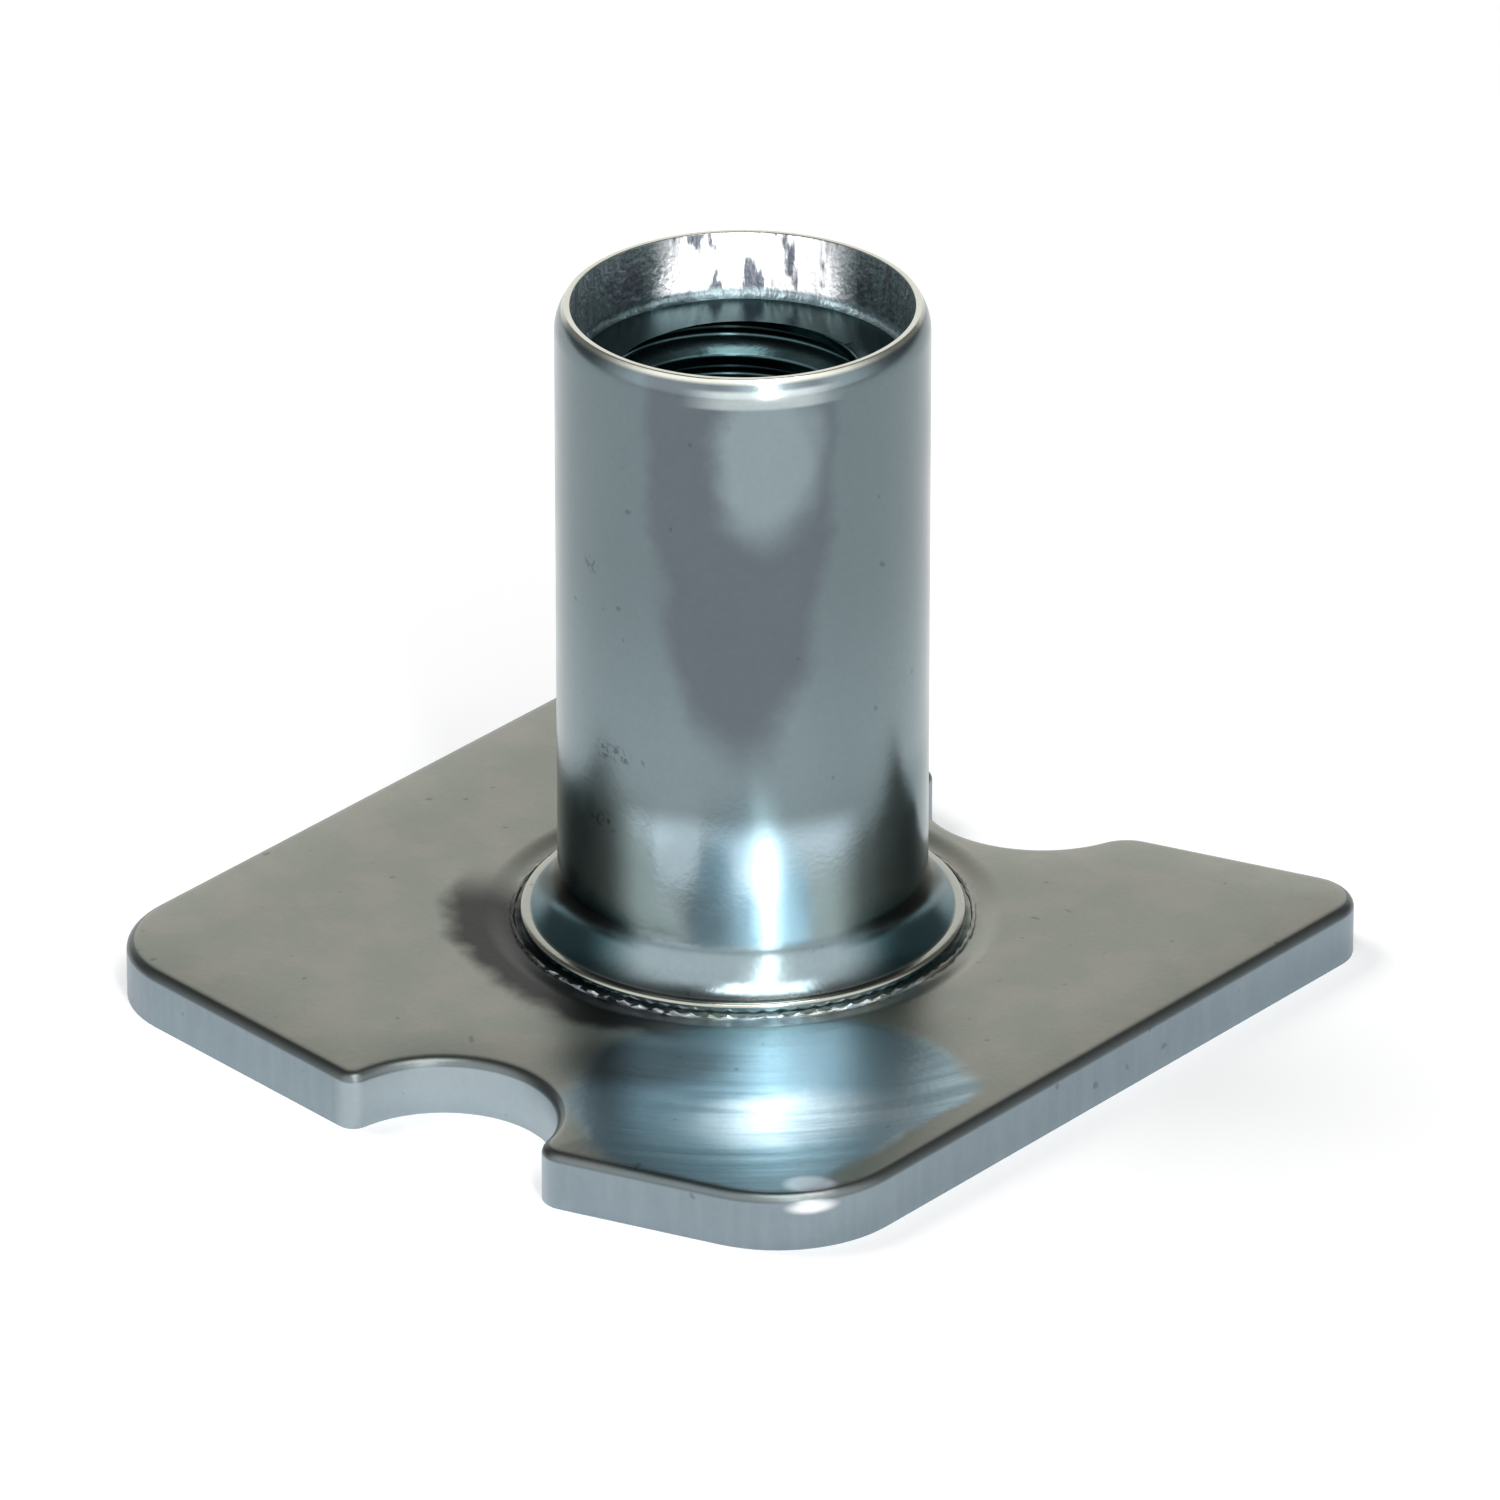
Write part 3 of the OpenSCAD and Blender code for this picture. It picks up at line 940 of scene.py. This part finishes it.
# Bored mouth: torn by the boring tool, so its wall is rough, with ragged upright streaks. Its far
# side carries a painted highlight, and its relief makes it lean. The shoulder at the mouth's floor
# is duller, with painted shade on its left.
tree, where, look = start_finish("zinc_in_bored_mouth")
BORED_WALL = (0.17, 0.215, 0.225, 1)
FAR_WALL_HIGHLIGHT = (0.97, 0.98, 1, 1)
TORN = (0.13, 0.145, 0.17, 1)
SHOULDER = (0.25, 0.32, 0.34, 1)
SHOULDER_LEFT_SHADE = (0.1, 0.14, 0.15, 1)
LEAN = 10
LEAN_HEIGHT = 20.2
STREAK_DEPTH = 4
streaks = noise(tree, where["Place"], scale=1.5, detail=4, stretch=(1, 1, 0.3))
far_side = ramp(tree, where["Ahead"], -3.0, -3.8)
far_wall_highlight = product(tree, band(tree, where["Across"], centre=0.3, half=1.9, softness=1.3), far_side)
colour = blend(tree, far_wall_highlight, BORED_WALL, FAR_WALL_HIGHLIGHT)
colour = blend(tree, ramp(tree, streaks, 0.55, 0.63), colour, TORN)
shoulder = blend(tree, ramp(tree, where["Across"], -0.8, -2.0), SHOULDER, SHOULDER_LEFT_SHADE)
colour = blend(tree, ramp(tree, where["Height"], 19.55, 19.35), colour, shoulder)
lean = product(tree, far_wall_highlight, sums(tree, "SUBTRACT", LEAN_HEIGHT, where["Height"]), LEAN)
relief = sums(tree, "ADD", look["Relief"], product(tree, streaks, STREAK_DEPTH))
relief = sums(tree, "ADD", relief, lean)
end_finish(tree, look, colour, roughness=0.45, relief=relief, depth=0.04 * MM)

# Cut thread: smooth from the tap, and painted shade leaves it dark and greenish deep in the bore
tree, where, look = start_finish("zinc_on_cut_thread", grain=0.2, clouds=0.4)
THREAD_SHADE = (0.055, 0.098, 0.104, 1)
end_finish(tree, look, THREAD_SHADE, roughness=0.22, relief=look["Relief"], depth=0.004 * MM)

SHEET, SHEARED, DRAWN_UP, BORED, CUT = range(5)
for f in nut.data.polygons:
    r = axis_distance(f.center)
    if r > LIP_R or f.center.z < SKIN:
        f.material_index = SHEET if abs(f.normal.z) > 0.5 else SHEARED
    elif r > MOUTH_R + SKIN:
        f.material_index = DRAWN_UP
    elif f.center.z > MOUTH_FLOOR_Z + SKIN:
        f.material_index = BORED
    else:
        f.material_index = CUT

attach(nut, "root")
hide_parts("tee_nut")

# ---------------------------------------------------------------------------------------------
# The studio: a plain pale floor that runs out to a white surround, and soft light. White card in
# front and behind shows in the metal, and the room between is dim.

FLOOR_SIZE = 4
FLOOR_PAINT = (0.8, 0.8, 0.8, 1)
FLOOR_GLOW = 0.3
WHITE = (1, 1, 1, 1)
deselect_everything()
bpy.ops.mesh.primitive_plane_add(size=FLOOR_SIZE)
floor = bpy.context.object
floor.name = "studio_floor"
pale = bpy.data.materials.new("pale_floor")
pale.use_nodes = True
tree = pale.node_tree
paint = tree.nodes["Principled BSDF"]
paint.inputs["Base Color"].default_value = FLOOR_PAINT
paint.inputs["Roughness"].default_value = 1
paint.inputs["Specular IOR Level"].default_value = 0
paint.inputs["Emission Color"].default_value = WHITE
path = tree.nodes.new("ShaderNodeLightPath").outputs
seen = sums(tree, "MAXIMUM", path["Is Camera Ray"], path["Is Glossy Ray"])
seen = sums(tree, "MAXIMUM", seen, path["Is Transmission Ray"])
feed(tree, paint.inputs["Emission Strength"], product(tree, seen, FLOOR_GLOW))
floor.data.materials.append(pale)


def switch(tree, factor, off, on):
    """One number where the factor is nought and another where it is one."""
    node = tree.nodes.new("ShaderNodeMix")
    feed(tree, node.inputs["Factor"], factor)
    feed(tree, node.inputs["A"], off)
    feed(tree, node.inputs["B"], on)
    return node.outputs["Result"]


# The surround is white to look at. In the metal it is bright in front of the nut and behind it,
# and dim at the sides and overhead, and its light on the floor is even.
ROOM = 0.15
ROOM_SIDES = 0.2
ROOM_OVERHEAD = 0.12
ROOM_FRONT = 1.6
BACKDROP = 1.15
world = bpy.data.worlds.new("surround")
bpy.context.scene.world = world
world.use_nodes = True
tree = world.node_tree
sky = tree.nodes.new("ShaderNodeTexCoord").outputs["Generated"]
facing = reach(tree, sky, FRONT)
upward = split_place(tree, sky, "Z")
front = product(tree, ramp(tree, facing, -0.25, 0.5), ROOM_FRONT - ROOM_SIDES)
front = product(tree, front, ramp(tree, upward, 0.95, 0.78))
behind = product(tree, ramp(tree, facing, -0.7, -0.86), BACKDROP - ROOM_SIDES)
behind = sums(tree, "ADD", behind, ROOM_SIDES - ROOM_OVERHEAD)
behind = product(tree, behind, ramp(tree, upward, 0.68, 0.5))
in_metal = sums(tree, "ADD", sums(tree, "ADD", front, behind), ROOM_OVERHEAD)
path = tree.nodes.new("ShaderNodeLightPath").outputs
straight = sums(tree, "MAXIMUM", path["Is Camera Ray"], path["Is Transmission Ray"])
strength = switch(tree, straight, switch(tree, path["Is Glossy Ray"], ROOM, in_metal), 1)
feed(tree, tree.nodes["Background"].inputs["Strength"], strength)
tree.nodes["Background"].inputs["Color"].default_value = WHITE

AIM = Vector((2.266, 1.613, 5.584)) * MM


def aim(obj, place):
    """Stands a lamp or camera at a place and points it at the middle of the view."""
    obj.location = place
    obj.rotation_euler = (AIM - obj.location).to_track_quat("-Z", "Y").to_euler()


def soft_lamp(name, place, size, power, mirrored=True):
    """A rectangular softbox, which shows in the metal if it is mirrored."""
    lamp = bpy.data.lights.new(name, "AREA")
    lamp.shape = "RECTANGLE"
    lamp.size, lamp.size_y = size
    lamp.energy = power
    holder = bpy.data.objects.new(name, lamp)
    bpy.context.scene.collection.objects.link(holder)
    holder.visible_glossy = mirrored
    aim(holder, place)


# The back softbox doesn't show in the metal. It lights the floor and casts the nut's shadow.
soft_lamp("strip_light", Vector((-234, -337, 238)) * MM, size=(0.045, 0.48), power=0.8)
soft_lamp("high_strip", Vector((-90, -150, 400)) * MM, size=(0.26, 0.16), power=0.75)
soft_lamp(
    "back_softbox", Vector((-60, 330, 420)) * MM, size=(0.25, 0.25), power=1.35, mirrored=False
)

lens = bpy.data.cameras.new("camera")
lens.lens = 359.0
lens.sensor_width = 36
lens.clip_start = 0.01
lens.clip_end = 50
camera = bpy.data.objects.new("camera", lens)
bpy.context.scene.collection.objects.link(camera)
aim(camera, Vector((-298.65, -248.6, 200.0)) * MM)
bpy.context.scene.camera = camera

bpy.context.scene.view_settings.view_transform = "Standard"
